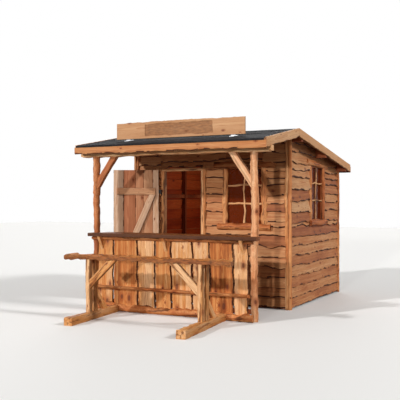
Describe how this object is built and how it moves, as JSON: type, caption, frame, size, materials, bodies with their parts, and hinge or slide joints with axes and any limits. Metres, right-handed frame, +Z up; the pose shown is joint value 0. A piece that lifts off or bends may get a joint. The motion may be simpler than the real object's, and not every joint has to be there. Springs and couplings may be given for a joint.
{
  "type": "garden hut with serving bar",
  "caption": "Small rustic hut of live-edge boards with a door, two windows, a gabled felt roof over an open serving bar, and a leaning rail in front.",
  "frame": {"origin": "on the ground, in the middle of the room's plan, on the underside of the middle floor bearer", "axes": "+X to the right seen from the front, +Y to the rear, +Z up"},
  "size_m": [3.012, 5.077, 2.7193],
  "materials": {
    "bar_timber": "oiled",
    "black_iron": "forged, waxed",
    "bracket_steel": "white paint",
    "counter_timber": "varnished",
    "door_timber": "oiled",
    "felt": "bitumen with fine grit",
    "old_timber": "rough sawn",
    "pole_timber": "oiled",
    "rail_timber": "oiled",
    "roof_timber": "oiled",
    "sign_timber": "oiled",
    "trim_timber": "oiled",
    "wall_timber": "oiled",
    "window_glass": "clear"
  },
  "bodies": {
    "hut": {"bar_battens": "old_timber", "bar_boards": "bar_timber", "bar_bottom_rail": "trim_timber", "bar_foot_rail": "trim_timber", "bar_top_rail": "trim_timber", "barge_boards": "roof_timber", "corner_trims": "trim_timber", "counter_brackets": "trim_timber", "counter_top": "counter_timber", "door_head": "trim_timber", "door_hinge_pintles": "black_iron", "door_jambs": "trim_timber", "door_threshold": "trim_timber", "door_trims": "trim_timber", "floor_bearers": "old_timber", "floor_boards": "old_timber", "front_fascia": "roof_timber", "front_wall_left": "wall_timber", "front_wall_over_door": "wall_timber", "front_wall_right": "wall_timber", "front_window_frame": "trim_timber", "header_beam": "roof_timber", "left_wall": "wall_timber", "porch_knee_braces": "pole_timber", "porch_posts": "pole_timber", "rail_braces": "rail_timber", "rail_feet": "rail_timber", "rail_plank": "rail_timber", "rail_uprights": "rail_timber", "rear_fascia": "roof_timber", "rear_wall": "wall_timber", "right_wall": "wall_timber", "right_window_frame": "trim_timber", "roof_boards_front": "roof_timber", "roof_boards_rear": "roof_timber", "roof_purlins": "roof_timber", "roofing_felt": "felt", "sign_board": "sign_timber", "sign_brackets": "bracket_steel", "wall_rails": "old_timber", "wall_studs": "old_timber", "window_panes": "window_glass"},
    "door": {"door_boards": "door_timber", "door_hinge_straps": "black_iron", "door_ledges": "door_timber"}
  },
  "joints": [
    {"name": "door_hinge", "type": "hinge", "parent": "hut", "child": "door", "pos_m": [-0.84, -1.2, 0.1], "axis": [0, 0, 1], "range_deg": [-20, 150]}
  ]
}
